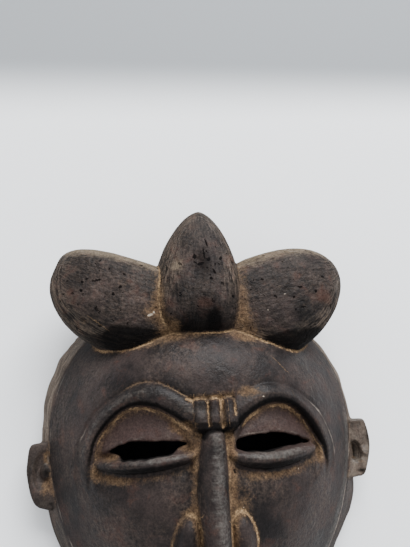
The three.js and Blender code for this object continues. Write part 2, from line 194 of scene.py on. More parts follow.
HAIR_DUST = [
    ((23.5, 60.5, 55), (6.5, 7, 14), 0.75), ((21, 54, 58), (8, 3, 12), 0.7),
    ((-19, 56, 60), (4, 4, 12), 0.8), ((21, 76, 58), (3.4, 10, 14), 0.55),
    ((22, 90, 45), (5, 6, 16), 0.7), ((-28, 88, 45), (5, 7, 16), 0.6), ((-64, 62, 60), (10, 4, 8), 0.5),
    ((-44.5, 80.3, 64), (4, 6, 8), 0.42), ((-29.5, 64.6, 62), (5.5, 5, 8), 0.5),
    ((-24.5, 70, 60), (3.6, 14, 12), 0.85), ((-17.5, 58, 64), (5, 5, 10), 0.7),
    ((-33, 70, 62), (7, 8, 8), 0.25), ((18.6, 64.4, 60.3), (4, 10, 9), 0.5),
    ((-70, 80, 60), (10, 8, 8), 0.3), ((55, 70, 62), (12, 8, 8), 0.3),
]
HAIR_WEAR_AND_HIGHLIGHT = [
    ((-67, 62, 45), (9, 9, 22), 0.45), ((-60, 96, 55), (16, 5, 10), 0.3),
    ((-15.5, 88.6, 70), (4.6, 5, 8), 0.9), ((-8, 100, 68), (6, 4, 8), 0.3),
    ((62, 84, 58), (12, 4, 8), 0.3),
]
RED_AREAS = [
    ((-46, -36, 48), (14, 10, 12), 0.7), ((40, -34, 52), (10, 12, 12), 0.35),
    ((50, 72, 62), (17, 11, 12), 0.4), ((-70.4, 77, 60), (3.4, 3.4, 6), 0.8),
    ((-31.8, 74.7, 63.6), (3.6, 2.6, 6), 0.9), ((-2, 68, 71.6), (6.5, 3.8, 6), 0.9),
    ((66.7, 73.5, 60.4), (6.5, 4.8, 6), 0.9), ((51, 85.3, 63.7), (2.8, 2.2, 5), 1.0),
]
HAIR_SOOT_AND_SHADE = [
    ((3.7, 59.6, 65.3), (3.4, 6.2, 9), 0.85), ((-2, 89, 72), (7, 12, 9), 0.75),
    ((-4, 68, 70), (16, 10, 12), 0.5), ((-66, 70, 60), (9, 8, 10), 0.4),
    ((-40, 68, 62), (14, 6, 9), 0.25), ((52, 66, 62), (14, 6, 9), 0.25),
    ((-42, 55, 55), (18, 6, 12), 0.7), ((50, 53, 55), (18, 6, 12), 0.8), ((-14, 55, 66), (8, 4, 12), 0.4),
]
# The lower edges of the side lobes' flat fronts: the wood turns under there, out of the light, and painted
# shade darkens it below them
LOBE_EDGES = [
    [(-47, 57.9), (-44, 57.6), (-32, 56.7), (-21, 55.6)], [(33, 51.5), (42, 52.6), (52, 54), (62, 56.5)],
]

# Small marks, each with its place, half sizes across and up, and turn in degrees, and how deep they reach
PITS = [
    ((-64.5, 82.1, 62.2), (0.9, 0.7), 0), ((-64.8, 77.3, 61.9), (0.7, 0.9), 20),
    ((-62, 83.6, 62.8), (0.9, 0.6), 0), ((-57.1, 82.5, 63.4), (2.4, 0.6), 5),
    ((-44.9, 78.7, 64), (0.8, 0.7), 0), ((-48.4, 75, 63.7), (0.8, 0.8), 0),
    ((0.1, 100.6, 71.5), (0.4, 2.8), 11), ((-6.5, 92.3, 72.7), (0.9, 1.5), 0),
    ((-3.6, 88, 73.3), (1.9, 0.8), 20), ((0.8, 90.7, 72.8), (1.3, 0.9), 35),
    ((-1.5, 94, 72.9), (0.5, 3.2), 5), ((3.4, 84, 72), (0.6, 1.6), 20),
    ((7.6, 92, 70.5), (0.7, 1.5), -20), ((1.6, 80, 72.6), (1.0, 0.7), 0),
    ((13.4, 71.7, 67.5), (0.9, 0.8), 0), ((51.8, 78.3, 63.7), (1.6, 0.5), -10),
    ((61.1, 76.3, 62.4), (0.8, 0.8), 0), ((52.4, 67.2, 62.7), (1.6, 0.5), 10),
    ((47.7, 72.6, 63.7), (0.8, 0.7), 0), ((9.2, -10.7, 63.1), (0.9, 1.0), 0),
]
PALE_SPECKS = [
    ((-29.5, 64.1, 62), (1.6, 0.5), 18), ((-27.6, 65.4, 62), (0.5, 0.5), 0),
    ((42.8, 74.3, 64), (0.3, 0.22), 0), ((32.8, 65.7, 63), (0.3, 0.25), 0),
    ((24.8, 21.4, 68.5), (0.27, 0.27), 0), ((12.8, -26.1, 62.6), (0.27, 0.27), 0),
    ((42.5, -12.3, 56.3), (0.4, 0.2), 60),
]
SCRATCHES = [((37.2, 37.2, 60), (7, 0.22), -46), ((-55.8, 60.9, 59.5), (6.9, 0.3), -36)]
MARK_DEPTH = 4.0

# The kinds of paint kept at the vertices: soft amounts, and thin lines given by a distance and a half width
SOFT_MAPS = ("dust", "worn", "shade_and_soot", "lid_skin")
FACE_LINES = ("dust_line", "low_dust_line", "highlight_and_wear_line")
DUST_LINES = ("dust_line", "low_dust_line", "hair_crease", "lobe_crease")

# The wood's colours as they look on a screen, 0 to 255
TINTS = {
    "patina": (22, 19, 19), "patina_light": (47, 39, 37), "upper_lid": (58, 44, 41), "red": (66, 42, 33),
    "film": (84, 71, 63), "soot_and_shade": (5, 4, 4), "hole": (3, 2, 2), "speck": (186, 172, 154),
    "trough": (14, 12, 11), "stroke": (106, 92, 79), "band": (30, 25, 23), "highlight_and_wear_line": (128, 118, 108),
    "wall_dark": (66, 57, 50), "wall_light": (116, 104, 92), "worn_face": (102, 99, 94),
    "worn_hair": (118, 104, 86), "raw_dark": (32, 24, 19), "raw_light": (58, 44, 34),
    "dust_low": (86, 66, 47), "dust_high": (120, 96, 71), "crust_low": (116, 93, 68),
    "crust_high": (156, 129, 97),
}

# The floor: pale, grey beyond the mask, and with a painted shadow in a patch under the mask's hollow
FLOOR = Part(half_size=4.0, pale=(0.98, 0.988, 1.0, 1), far=(0.29, 0.303, 0.317, 1), far_from=0.222,
             far_to=0.292, far_turn=0.05, hidden=(0.03, 0.032, 0.04, 1), hidden_edge=(0.074, 0.062))

# The light: a soft sky, paler overhead, and one window beyond the mask's crest
SKY = Part(strength=1.32, horizon=(0.64, 0.665, 0.7, 1), overhead=(0.79, 0.8, 0.81, 1), low=0.45,
           high=0.98)
WINDOW = Part(place=(0.35, 1.25, 1.15), target=(0, 0.02, 0.04), size=(1.4, 1.0), power=62,
              tint=(0.96, 0.98, 1.0))


def rising(low, high, value):
    """0 up to the first value, 1 from the second one on, and smooth between them."""
    share = np.clip((value - low) / (high - low), 0, 1)
    return share * share * (3 - 2 * share)


def falling(low, high, value):
    """1 up to the first value, 0 from the second one on, and smooth between them."""
    return rising(high, low, value)


def smooth_min(a, b, radius):
    """The lower of two fields, with their joint rounded over."""
    overlap = np.maximum(radius - np.abs(a - b), 0) / radius
    return np.minimum(a, b) - overlap * overlap * radius / 4


def smooth_max(a, b, radius):
    return -smooth_min(-a, -b, radius)


def smooth_path(points, steps=6, closed=False):
    """Points along a Catmull-Rom curve through the given ones."""
    points = np.array(points, float)
    if closed:
        padded = np.vstack([points[-1:], points, points[:2]])
    else:
        padded = np.vstack([2 * points[0] - points[1], points, 2 * points[-1] - points[-2]])
    t = np.linspace(0, 1, steps, endpoint=False)[:, None]
    pieces = []
    for a, b, c, d in zip(padded, padded[1:], padded[2:], padded[3:]):
        pieces.append(0.5 * (2 * b + (c - a) * t + (2 * a - 5 * b + 4 * c - d) * t ** 2
                             + (3 * b - a - 3 * c + d) * t ** 3))
    if not closed:
        pieces.append(points[-1:])
    return np.vstack(pieces)


def rounded_corner(a, b, radius):
    """Distance to what lies inside two faces, given the distance to each, with a round edge between them."""
    a, b = a + radius, b + radius
    return np.hypot(np.maximum(a, 0), np.maximum(b, 0)) + np.minimum(np.maximum(a, b), 0) - radius


def along_path(points, x, y):
    """Each place's distance to a path, its side of it (positive on the left) and its share of the way."""
    path = smooth_path(points)
    lengths = np.hypot(*np.diff(path, axis=0).T)
    starts = np.concatenate([[0], np.cumsum(lengths)])
    nearest, side, share = np.full(x.shape, np.inf), np.zeros(x.shape), np.zeros(x.shape)
    for (ax, ay), (bx, by), length, start in zip(path, path[1:], lengths, starts):
        ux, uy = (bx - ax) / length, (by - ay) / length
        t = np.clip((x - ax) * ux + (y - ay) * uy, 0, length)
        dx, dy = x - ax - t * ux, y - ay - t * uy
        distance = dx * dx + dy * dy
        closer = distance < nearest
        nearest[closer] = distance[closer]
        side[closer] = np.sign(ux * dy - uy * dx)[closer]
        share[closer] = ((start + t) / starts[-1])[closer]
    return np.sqrt(nearest), side, share


def polygon_distance(corners, x, y):
    """Signed distance to a closed outline, negative inside it."""
    nearest = np.full(x.shape, np.inf)
    inside = np.zeros(x.shape, bool)
    for (ax, ay), (bx, by) in zip(corners, np.roll(corners, -1, axis=0)):
        ex, ey = bx - ax, by - ay
        t = np.clip(((x - ax) * ex + (y - ay) * ey) / (ex * ex + ey * ey), 0, 1)
        nearest = np.minimum(nearest, (x - ax - t * ex) ** 2 + (y - ay - t * ey) ** 2)
        crosses = (ay > y) != (by > y)
        if ey:
            inside ^= crosses & (x < ax + (y - ay) * ex / ey)
    return np.where(inside, -1, 1) * np.sqrt(nearest)


def lattice_noise(seed, scale, *coordinates):
    """Smooth value noise between -1 and 1, with features of about the given size."""
    cells = [np.floor(c / scale).astype(np.int64) for c in coordinates]
    parts = [c / scale - cell for c, cell in zip(coordinates, cells)]
    parts = [p * p * (3 - 2 * p) for p in parts]
    total = 0
    for corner in range(2 ** len(coordinates)):
        mixed = np.uint64(seed * 7919 + 12345)
        weight = 1
        for axis, (cell, part) in enumerate(zip(cells, parts)):
            step = corner >> axis & 1
            key = (cell + step + 5000).astype(np.uint64)
            mixed = (mixed ^ key) * np.uint64(0x9E3779B97F4A7C15)
            mixed = mixed ^ (mixed >> np.uint64(29))
            weight = weight * (part if step else 1 - part)
        value = (mixed >> np.uint64(40)).astype(np.float64) / 2 ** 23 - 1
        total = total + weight * value
    return total


def face_span(x, y):
    """How far a place lies from the middle of the face, as a share of the way to the worn edge."""
    upper = y > FACE.y
    length = np.where(upper, FACE.top, FACE.chin)
    exponent = np.where(upper, FACE.top_power, FACE.chin_power)
    across = np.abs((x - FACE.x) / FACE.half_width) ** exponent
    return (across + np.abs((y - FACE.y) / length) ** exponent) ** (1 / exponent)


def soft_areas(place, areas):
    """The sum of some soft areas at each place, which is given by two or three coordinates."""
    total = 0
    for middle, reach, amount in areas:
        squares = [((at - centre) / size) ** 2 for at, centre, size in zip(place, middle, reach)]
        total = total + amount * np.exp(-sum(squares))
    return total


def bare_face_height(x, y):
    """The domed face before its features are carved."""
    span = np.minimum(face_span(x, y), 1)
    dome = EDGE_HEIGHT + DOME.height * (1 - span ** DOME.power)
    return dome + soft_areas((x, y), SWELLINGS) * (1 - span ** 4)


def ellipse_cap(across):
    """The height of a round ridge at a share of its half width."""
    return np.sqrt(np.clip(1 - across * across, 0, 1))


def line(distance, width):
    """A soft line, 1 along its middle."""
    return np.exp(-(distance / width) ** 2)


def add_line(face, group, distance, half_width):
    """Put a thin line in a group: how far each place is from it and its half width there, in millimetres."""
    nearer = np.abs(distance) < np.abs(face[group])
    near = falling(2.1, 2.9, np.abs(distance))
    face[group] = np.where(nearer, distance, face[group])
    face[group + "_width"] = np.where(nearer, half_width * near, face[group + "_width"])


def carve_sockets(face, x, y):
    """The hollows under the brows: deepest above the eye, fading out below it, with a bulging upper lid and
    a painted highlight along each slit's upper lip.
    """
    deepened = rising(SOCKET.fade_low, SOCKET.fade_high, y)
    for side in (-1, 1):
        dx, dy = x - side * SOCKET.x, y - SOCKET.y
        measure = np.hypot(dx / SOCKET.half_width, dy / np.where(dy > 0, SOCKET.top, SOCKET.bottom))
        face["height"] -= SOCKET.depth * deepened * falling(0.86, 1, measure)
        face["lid_skin"] = np.maximum(face["lid_skin"], falling(0.8, 1.02, measure) * rising(-6, 0, y))
    above_slit = np.exp(-(np.maximum(face["slit"], 0) / 6.5) ** 2) * rising(-4, 1, y)
    face["height"] += SOCKET.lid_bulge * above_slit * face["lid_skin"]
    # Painted highlight: a pale line and a lighter band along the upper lip of each slit.
    broken = 0.08 + 0.16 * lattice_noise(15, 6, x, y)
    add_line(face, "highlight_and_wear_line", face["slit"] - 0.8, broken * rising(-0.5, 1.5, y))
    face["worn"] += 0.4 * line(face["slit"] - 1.3, 1.5) * rising(0.5, 2.5, y)


def carve_brow(face, bare, brow, side, x, y):
    """One brow band: a rounded ridge, undercut along its lower edge and darkened there with painted shade,
    grooved along the upper, with a pale line of wear and painted highlight on its outer half.
    """
    low_distance, low_side, share = along_path(brow.lower, x, y)
    up_distance, up_side, up_share = along_path(brow.upper, x, y)
    above_low = low_distance * low_side * side - BROW.inset
    below_up = -up_distance * up_side * side
    across = np.clip(above_low / np.maximum(above_low + below_up, 0.1), 0, 1)
    near = falling(17, 24, low_distance + up_distance)
    rise, crown = BROW.rise, BROW.crown
    under = rise - (rise + BROW.undercut) * (1 - ellipse_cap((crown - across) / crown) ** 0.8)
    over = rise * np.clip(1 - np.maximum((across - crown) / (1 - crown), 0) ** brow.fall, 0, 1)
    profile = np.where(across < crown, under, over)
    fade = falling(0.72, 1, share)
    weight = rising(-0.6, 0.4, above_low) * rising(-0.4, 0.4, below_up) * near
    weight *= 1 - rising(0.9, 1, share) * (y < 0)
    face["height"] += (bare + profile - face["height"]) * (weight * (0.25 + 0.75 * fade))
    # The right brow is darker all over; the left one gets a painted highlight along its crown.
    face["shade_and_soot"] += 0.38 * weight * (side > 0)
    face["worn"] += 0.46 * weight * fade * (side < 0) * line(across - 0.55, 0.34)
    ends = rising(0.02, 0.1, up_share) * falling(0.8, 1, up_share)
    face["height"] -= brow.groove * line(up_distance, 0.9) * ends
    # Painted shade on the undercut lower part of the band.
    face["shade_and_soot"] += 1.0 * weight * falling(0.06, 0.36, across) * falling(0.75, 1, share)
    inner_half = falling(0.36, 0.5, up_share) * (up_share > 0.02)
    add_line(face, "dust_line", below_up, np.where(side < 0, 0.22, 0.08) * inner_half)
    # A pale line of wear and painted highlight along the outer half of the upper edge.
    outer_half = rising(0.4, 0.55, up_share) * falling(0.85, 0.95, up_share)
    broken = 0.13 + 0.28 * lattice_noise(17, 7, x, y) + 0.06 * (side > 0)
    add_line(face, "highlight_and_wear_line", below_up - 0.3, broken * outer_half)
    socket_edge = rising(0.03, 0.12, share) * falling(0.86, 0.97, share)
    thinner = 1 - 0.65 * rising(0.6, 0.75, share)
    add_line(face, "low_dust_line", above_low + 1.5, (0.62 + 0.2 * (side > 0)) * socket_edge * thinner)
    face["dust"] += 0.7 * line(above_low + 2.4, 2.6) * socket_edge


def carve_lid(face, bare, lid, x, y):
    """One rolled lower lid: a flat facet above, painted pale as wear and highlight, and a steep side below
    darkened with painted shade.
    """
    distance, side, share = along_path(lid.path, x, y)
    ends = np.sin(np.pi * np.clip(share, 0.02, 0.98)) ** 0.36
    half_width = lid.half_width * (0.4 + 0.6 * ends)
    rise = LID.rise * (0.35 + 0.65 * ends)
    up = side * distance / half_width
    facet = (1 - 0.3 * up * up) * np.sqrt(np.clip(1 - up ** 8, 0, 1))
    ridge = bare - LID.root + (rise + LID.root) * np.where(up > 0, facet, ellipse_cap(up))
    below = distance - half_width
    weight = falling(-0.5, 0.5, below)
    face["height"] += (np.maximum(face["height"], ridge) - face["height"]) * weight
    # Painted highlight on the top facet and painted shade on the steep side below.
    top = rising(-0.08, 0.12, up) * falling(0.75, 1.05, up)
    face["worn"] += (0.72 - 0.22 * falling(-36, -20, x)) * weight * top * ends
    face["shade_and_soot"] += 0.95 * falling(0.0, 1.8, below) * falling(-0.5, 0.15, up) * ends
    face["dust"] += 0.62 * (side < 0) * rising(1.0, 2.2, below) * falling(2.5, 7.5, below) * ends


def carve_block(face, bare, x, y):
    """The notched block between the brows: upright bars with rounded, bumpy fronts and dusty grooves, darker
    bars, and painted shade along their undersides and the gap below them.
    """
    bottom, top = BLOCK.bottom, BLOCK.top
    middle, half_width = (BLOCK.left + BLOCK.right) / 2, (BLOCK.right - BLOCK.left) / 2
    dx, dy = np.abs(x - middle) - half_width, np.abs(y - (top + bottom) / 2) - (top - bottom) / 2
    outside = rounded_corner(dx, dy, 1.2)
    rise = BLOCK.rise * (0.5 + 0.5 * falling(bottom + 3, top, y))
    edges = [groove.x for groove in BAR_GROOVES]
    for left, right in zip(edges, edges[1:]):
        across = np.abs(x - (left + right) / 2) / ((right - left) / 2)
        rise = np.where(across <= 1, rise - 1.1 * np.clip(across, 0, 1) ** 3, rise)
    rise = rise + BAR_BUMPS * lattice_noise(71, 2.6, x, y)
    weight = falling(-0.7, 0.7, outside)
    face["height"] += (bare + rise - face["height"]) * weight
    for groove in BAR_GROOVES:
        upright = rising(groove.low - 1, groove.low + 1.5, y) * falling(top, top + 2, y)
        face["height"] -= groove.depth * line(x - groove.x, groove.half_width + 0.5) * upright
        add_line(face, "low_dust_line", x - groove.x, (groove.half_width + 0.05) * upright)
    # The bars are darker overall; painted shade makes their undersides and the gap below the block
    # near-black.
    face["shade_and_soot"] *= 1 - weight
    face["shade_and_soot"] += 0.5 * weight + 1.3 * weight * falling(bottom + 2.2, bottom + 3.4, y)
    face["shade_and_soot"] += 0.8 * falling(-0.5, 0.5, np.abs(x + 0.3) - 7) * line(y - bottom + 0.6, 0.8)
    above = y - top - 1.1 - 0.045 * (x - middle)
    reach = rising(-14, -11, x) * falling(9, 12, x)
    face["height"] -= 0.9 * line(above, 1.1) * reach
    add_line(face, "dust_line", above, 0.85 * reach)
    face["dust"] += 0.8 * line(above - 0.4, 2.2) * reach


def carve_nose(face, bare, x, y):
    """The nose ridge, widening downwards to its tip, and the dusty grooves beside it, with a painted
    highlight down its ridge and painted shade on its sides.
    """
    heights, lefts, rights = np.array(NOSE_SIDES, float).T
    left, right = np.interp(y, heights, lefts), np.interp(y, heights, rights)
    middle, half_width = (left + right) / 2, (right - left) / 2
    down = np.clip((NOSE.top - y) / (NOSE.top - NOSE.tip), 0, 1)
    rise = NOSE.rise_top + (NOSE.rise_tip - NOSE.rise_top) * down ** 1.6
    above = np.maximum(y - (NOSE.top - 3.2), 0) / 3.6
    below = np.maximum(NOSE.tip + 5 - y, 0) / 6.5
    across = np.abs(x - middle) / half_width
    measure = (across ** 2.2 + above ** 2.2 + below ** 2.2) ** (1 / 2.2)
    outside = np.maximum(measure - 1, 0) * half_width
    ridge = bare + rise * np.clip(1 - measure ** 2.1, 0, 1) ** 0.55 - 1.5 * outside
    face["height"] = smooth_max(face["height"], ridge, 1.4)
    beside, turn = np.abs(x - middle) - half_width, (x - middle) / half_width
    along = falling(5, 8, y) * rising(-52, -46, y)
    leftward = x < middle
    # Painted highlight down the ridge, a little right of its middle; painted shade on both its sides.
    face["worn"] += 0.62 * along * line(turn - 0.25, 0.7)
    reach = np.where(leftward, 4.8, 5.6)
    face["dust"] += 0.82 * along * falling(1.2, reach, beside) * rising(-0.6, 0.2, beside)
    face["shade_and_soot"] += 0.18 * along * falling(-0.8, -0.5, turn) * falling(-0.4, 1.0, beside)
    face["shade_and_soot"] += 0.15 * along * rising(0.6, 0.85, turn) * falling(-0.4, 0.8, beside)
    add_line(face, "dust_line", beside - 0.7, np.where(leftward, 0.15, 0.25) * along)


def carve_wing(face, bare, wing, x, y):
    """One wing of the nose, a low hill with a dusty groove around it."""
    dx, dy = (x - wing.x) / wing.half_width, (y - wing.y) / wing.half_length
    lean = dx + 0.25 * np.sign(wing.x) * np.maximum(dy, 0)
    measure = np.hypot(lean, dy)
    hill = bare + wing.rise * np.clip(1 - measure ** 2, 0, 1) ** 0.6 - 4 * np.maximum(measure - 1, 0)
    face["height"] = smooth_max(face["height"], hill, 0.9)
    outline = (measure - 1.06) * wing.half_width
    above_end = rising(-58, -52, y)
    face["height"] -= 0.5 * line(outline, 0.9) * above_end
    add_line(face, "dust_line", outline, 0.44 * above_end)
    face["dust"] += 0.5 * line(outline, 2.0) * above_end


def carve_lip(face, bare, lip, x, y):
    """One full lip; the two are shut."""
    distance, _, share = along_path(lip.path, x, y)
    ends = np.sqrt(np.sin(np.pi * np.clip(share, 0.01, 0.99)))
    half_width = lip.half_width * (0.2 + 0.8 * ends)
    below = distance - half_width
    rise = LIP_RISE * (0.1 + 0.9 * ends) * ellipse_cap(distance / half_width)
    ridge = bare + rise - 2 * np.maximum(below, 0)
    face["height"] = smooth_max(face["height"], ridge, 1.2)
    add_line(face, "dust_line", below - 0.8, 0.5 * ends)


def carved_face():
    """Maps of the carved face on a fine grid: its height, its slits, and where dust, wear and painted
    highlight, and soot and painted shade lie.
    """
    step = FACE_MAP.step
    xs = np.arange(FACE_MAP.left, FACE_MAP.right, step)
    ys = np.arange(FACE_MAP.low, FACE_MAP.high, step)
    x, y = np.meshgrid(xs, ys, indexing="ij")
    bare = bare_face_height(x, y)
    face = {name: np.zeros(x.shape) for name in SOFT_MAPS}
    for group in FACE_LINES:
        face[group] = np.full(x.shape, 9.0)
        face[group + "_width"] = np.zeros(x.shape)
    face["height"] = bare.copy()
    face["slit"] = np.minimum(*[polygon_distance(smooth_path(slit, 4, closed=True), x, y) for slit in SLITS])
    face["slit"] += 0.4 * lattice_noise(3, 2.6, x, y)
    carve_sockets(face, x, y)
    for side, brow in zip((-1, 1), BROWS):
        carve_brow(face, bare, brow, side, x, y)
    for lid in LIDS:
        carve_lid(face, bare, lid, x, y)
    for middle, reach, depth, dust in SLIT_RECESSES:
        recess = soft_areas((x, y), [(middle, reach, 1)])
        face["height"] -= depth * recess
        face["dust"] += dust * recess
    carve_nose(face, bare, x, y)
    for wing in WINGS:
        carve_wing(face, bare, wing, x, y)
    carve_block(face, bare, x, y)
    for lip in LIPS:
        carve_lip(face, bare, lip, x, y)
    face["dust"] += soft_areas((x, y), FACE_DUST)
    face["height"] += 0.22 * lattice_noise(11, 13, x, y) + 0.1 * lattice_noise(12, 5, x, y)
    face["edge"] = (face_span(x, y) - 1) * FACE.half_width
    # A pale line of wear and painted highlight along the worn edge.
    broken = 0.05 + 0.3 * lattice_noise(13, 9, x, y) + 0.3 * falling(-35, -10, y) + 0.15 * (x > 0)
    add_line(face, "highlight_and_wear_line", face["edge"] + 0.7, broken * falling(52, 62, y))
    slopes = np.gradient(face["height"], step)
    face["slope"] = np.minimum(np.sqrt(1 + slopes[0] ** 2 + slopes[1] ** 2), 4)
    return face


def sampled(face, name, x, y):
    """One of the face's maps read at any places, interpolated between its points."""
    values = face[name]
    column = np.clip((x - FACE_MAP.left) / FACE_MAP.step, 0, values.shape[0] - 1.001)
    row = np.clip((y - FACE_MAP.low) / FACE_MAP.step, 0, values.shape[1] - 1.001)
    i, j = column.astype(int), row.astype(int)
    u, v = column - i, row - j
    lower = values[i, j] * (1 - u) + values[i + 1, j] * u
    upper = values[i, j + 1] * (1 - u) + values[i + 1, j + 1] * u
    return lower * (1 - v) + upper * v


def crest_plan(x, y):
    """The crest's outline in plan: a place in its frame, and its half sizes and power there."""
    px, py = x - CREST.x, y - CREST.y
    above = py > 0
    return (px - CREST.lean * np.maximum(py, 0), py, CREST.half_width,
            np.where(above, CREST.top, CREST.base), np.where(above, CREST.top_power, CREST.base_power))


def side_lobe_plan(lobe, x, y):
    """The same for a side lobe, in its own tilted frame."""
    tilt = math.radians(lobe.side * lobe.tilt)
    dx, dy = x - lobe.side * lobe.x, y - lobe.y
    px, py = dx * math.cos(tilt) + dy * math.sin(tilt), dy * math.cos(tilt) - dx * math.sin(tilt)
    above = py > 0
    return (px, py, np.where(lobe.side * px > 0, lobe.outer, SIDE_LOBE.inner),
            np.where(above, lobe.upper, lobe.lower), np.where(above, lobe.upper_power, lobe.lower_power))


def plan_share(plan):
    """How far out a place lies in a lobe's plan, 1 on its outline."""
    px, py, width, length, exponent = plan
    return (np.abs(px / width) ** exponent + np.abs(py / length) ** exponent) ** (1 / exponent)


def lobe_field(plan, z, sizes):
    """Distance to a rounded lobe, near enough: one superellipse in plan and another through its depth."""
    pz = z - LOBE_MIDDLE_HEIGHT
    depth = np.where(pz > 0, sizes.front, sizes.back)
    section = sizes.section
    measure = (plan_share(plan) ** section + np.abs(pz / depth) ** section) ** (1 / section)
    reach = np.sqrt(plan[0] ** 2 + plan[1] ** 2 + pz * pz)
    return (1 - 1 / np.maximum(measure, 0.05)) * np.minimum(reach, 34)


def ear_field(ear, x, y, z):
    """An ear: a plate with rounded edges, hollowed in front, with a knob in the hollow of the left one."""
    plan = polygon_distance(smooth_path(ear.outline, 3, closed=True), x, y)
    back, front = EAR_HEIGHT
    middle, rounding = (back + front) / 2, 1.8
    plate = rounded_corner(plan, np.abs(z - middle) - (front - back) / 2, rounding)
    hollow = ear.hollow
    dx, dy = x - hollow.x, y - hollow.y
    radial = ear.ridges * (lattice_noise(61, 0.42, np.arctan2(dy, dx) + 4) - 0.6) * rising(0, 3, -plan)
    dish = np.sqrt((dx / hollow.half_width) ** 2 + (dy / hollow.half_height) ** 2
                   + ((z - front) / hollow.depth) ** 2)
    plate = smooth_max(plate - radial * (z > middle), (1 - dish) * 4, 0.8)
    knob = ear.knob
    if knob is None:
        return plate
    ball = np.sqrt((x - knob.x) ** 2 + ((y - knob.y) / 1.35) ** 2 + (z - front + 2.4) ** 2)
    return smooth_min(plate, ball - knob.radius, 0.6)


def mask_fields(face, x, y, z):
    """Distances to the parts of the mask, negative inside each."""
    dx, dy = x - FACE.x, y - FACE.y
    radius = np.hypot(dx, dy)
    angle = np.degrees(np.arctan2(dy, dx))
    edge_radius = radius / np.maximum(face_span(x, y), 1e-6)
    heights, flares = np.array(WALL_PROFILE, float).T
    wider = 1
    for place in UNEVEN_FLARE:
        off = (angle - place.angle + 180) % 360 - 180
        wider = wider + place.extra / RIM_FLARE * np.exp(-(off / place.spread) ** 2)
    parts = {}
    cuts = 0.7 * lattice_noise(21, 9, edge_radius * np.radians(angle) + 400, z + 40) * falling(13, 20, z)
    parts["wall"] = radius - edge_radius - np.interp(z, heights, flares) * wider - cuts
    parts["front"] = (z - sampled(face, "height", x, y)) / sampled(face, "slope", x, y)
    parts["head"] = smooth_max(parts["front"], parts["wall"], JOINTS.edge)
    bumps = 0.35 * lattice_noise(31, 12, x, y, z) + 0.15 * lattice_noise(32, 5, x, y, z)
    crest = lobe_field(crest_plan(x, y), z, CREST)
    parts["crest"] = smooth_max(crest, y - CREST_TIP.y, CREST_TIP.rounding) + bumps
    for name, lobe in (("left", LEFT_LOBE), ("right", RIGHT_LOBE)):
        parts[name] = lobe_field(side_lobe_plan(lobe, x, y), z, SIDE_LOBE) + bumps
    parts["ears"] = np.minimum(*[ear_field(ear, x, y, z) for ear in EARS])
    inner_radius = edge_radius - np.interp(z, [1, 10], [RIM_WIDTH - RIM_FLARE + 1, WALL.side])
    inner_share = radius / np.maximum(edge_radius - WALL.side, 1)
    roof = EDGE_HEIGHT - WALL.front + DOME.height * (1 - np.minimum(inner_share, 1) ** DOME.power)
    gouges = 0.9 * lattice_noise(41, 11, x, y) + 0.4 * lattice_noise(42, 5, x, y)
    parts["hollow"] = smooth_max(radius - inner_radius, (z - roof - gouges) * 0.6, 6)
    parts["slit"] = np.where(z > 20, sampled(face, "slit", x, y), 30)
    hole = math.radians(TIE_HOLE.angle)
    beside, forward = -dx * math.sin(hole) + dy * math.cos(hole), dx * math.cos(hole) + dy * math.sin(hole)
    parts["tie_hole"] = np.where(forward > 40, np.hypot(beside, z - TIE_HOLE.height) - TIE_HOLE.radius, 30)
    return parts


def mask_field(face, x, y, z):
    """Distance to the whole mask, negative in the wood."""
    parts = mask_fields(face, x, y, z)
    hair = smooth_min(parts["crest"], parts["left"], JOINTS.lobes)
    hair = smooth_min(hair, parts["right"], JOINTS.lobes)
    wood = smooth_min(parts["head"], hair, JOINTS.hair)
    wood = smooth_min(wood, parts["ears"], JOINTS.ears)
    wood = smooth_max(wood, -parts["hollow"], JOINTS.hollow)
    wood = smooth_max(wood, -parts["slit"], JOINTS.slits)
    wood = np.maximum(wood, -parts["tie_hole"])
    return smooth_max(wood, -z, JOINTS.rim)


def surface_quads(values, low, step):
    """The surface of a sampled field as four-sided faces, one vertex in each crossed cell."""
    inside, sizes = values < 0, values.shape
    quads, points = [], []
    key = np.array([sizes[1] * sizes[2], sizes[2], 1])
    for axis in range(3):
        near, far = [np.take(inside, range(shift, sizes[axis] - 1 + shift), axis) for shift in (0, 1)]
        place = np.argwhere(near != far)
        leaving = near[tuple(place.T)]
        ahead = place.copy()
        ahead[:, axis] += 1
        first, second = values[tuple(place.T)], values[tuple(ahead.T)]
        crossing = place.astype(float)
        crossing[:, axis] += first / (first - second)
        around = []
        for du, dv in ((1, 1), (0, 1), (0, 0), (1, 0)):
            cell = place.copy()
            cell[:, (axis + 1) % 3] -= du
            cell[:, (axis + 2) % 3] -= dv
            around.append(cell @ key)
        around = np.stack(around, 1)
        around[~leaving] = around[~leaving][:, ::-1]
        quads.append(around)
        points.append(np.repeat(crossing, 4, axis=0))
    index = np.unique(np.vstack(quads).reshape(-1), return_inverse=True)[1].reshape(-1)
    points, counts = np.vstack(points), np.bincount(index)
    vertices = np.stack([np.bincount(index, points[:, k]) / counts for k in range(3)], 1)
    return vertices * step + low, index.reshape(-1, 4)


def surface_slope(face, points, value, reach=0.25):
    """The field's slope at each vertex."""
    moved = [points + reach * np.eye(3)[axis] for axis in range(3)]
    return np.stack([(mask_field(face, *p.T) - value) / reach for p in moved], 1)


def settled(face, points):
    """Vertices moved on to the surface, along the field's slope."""
    value = mask_field(face, *points.T)
    slope = surface_slope(face, points, value)
    return points - (value / np.maximum((slope ** 2).sum(1), 0.2))[:, None] * slope


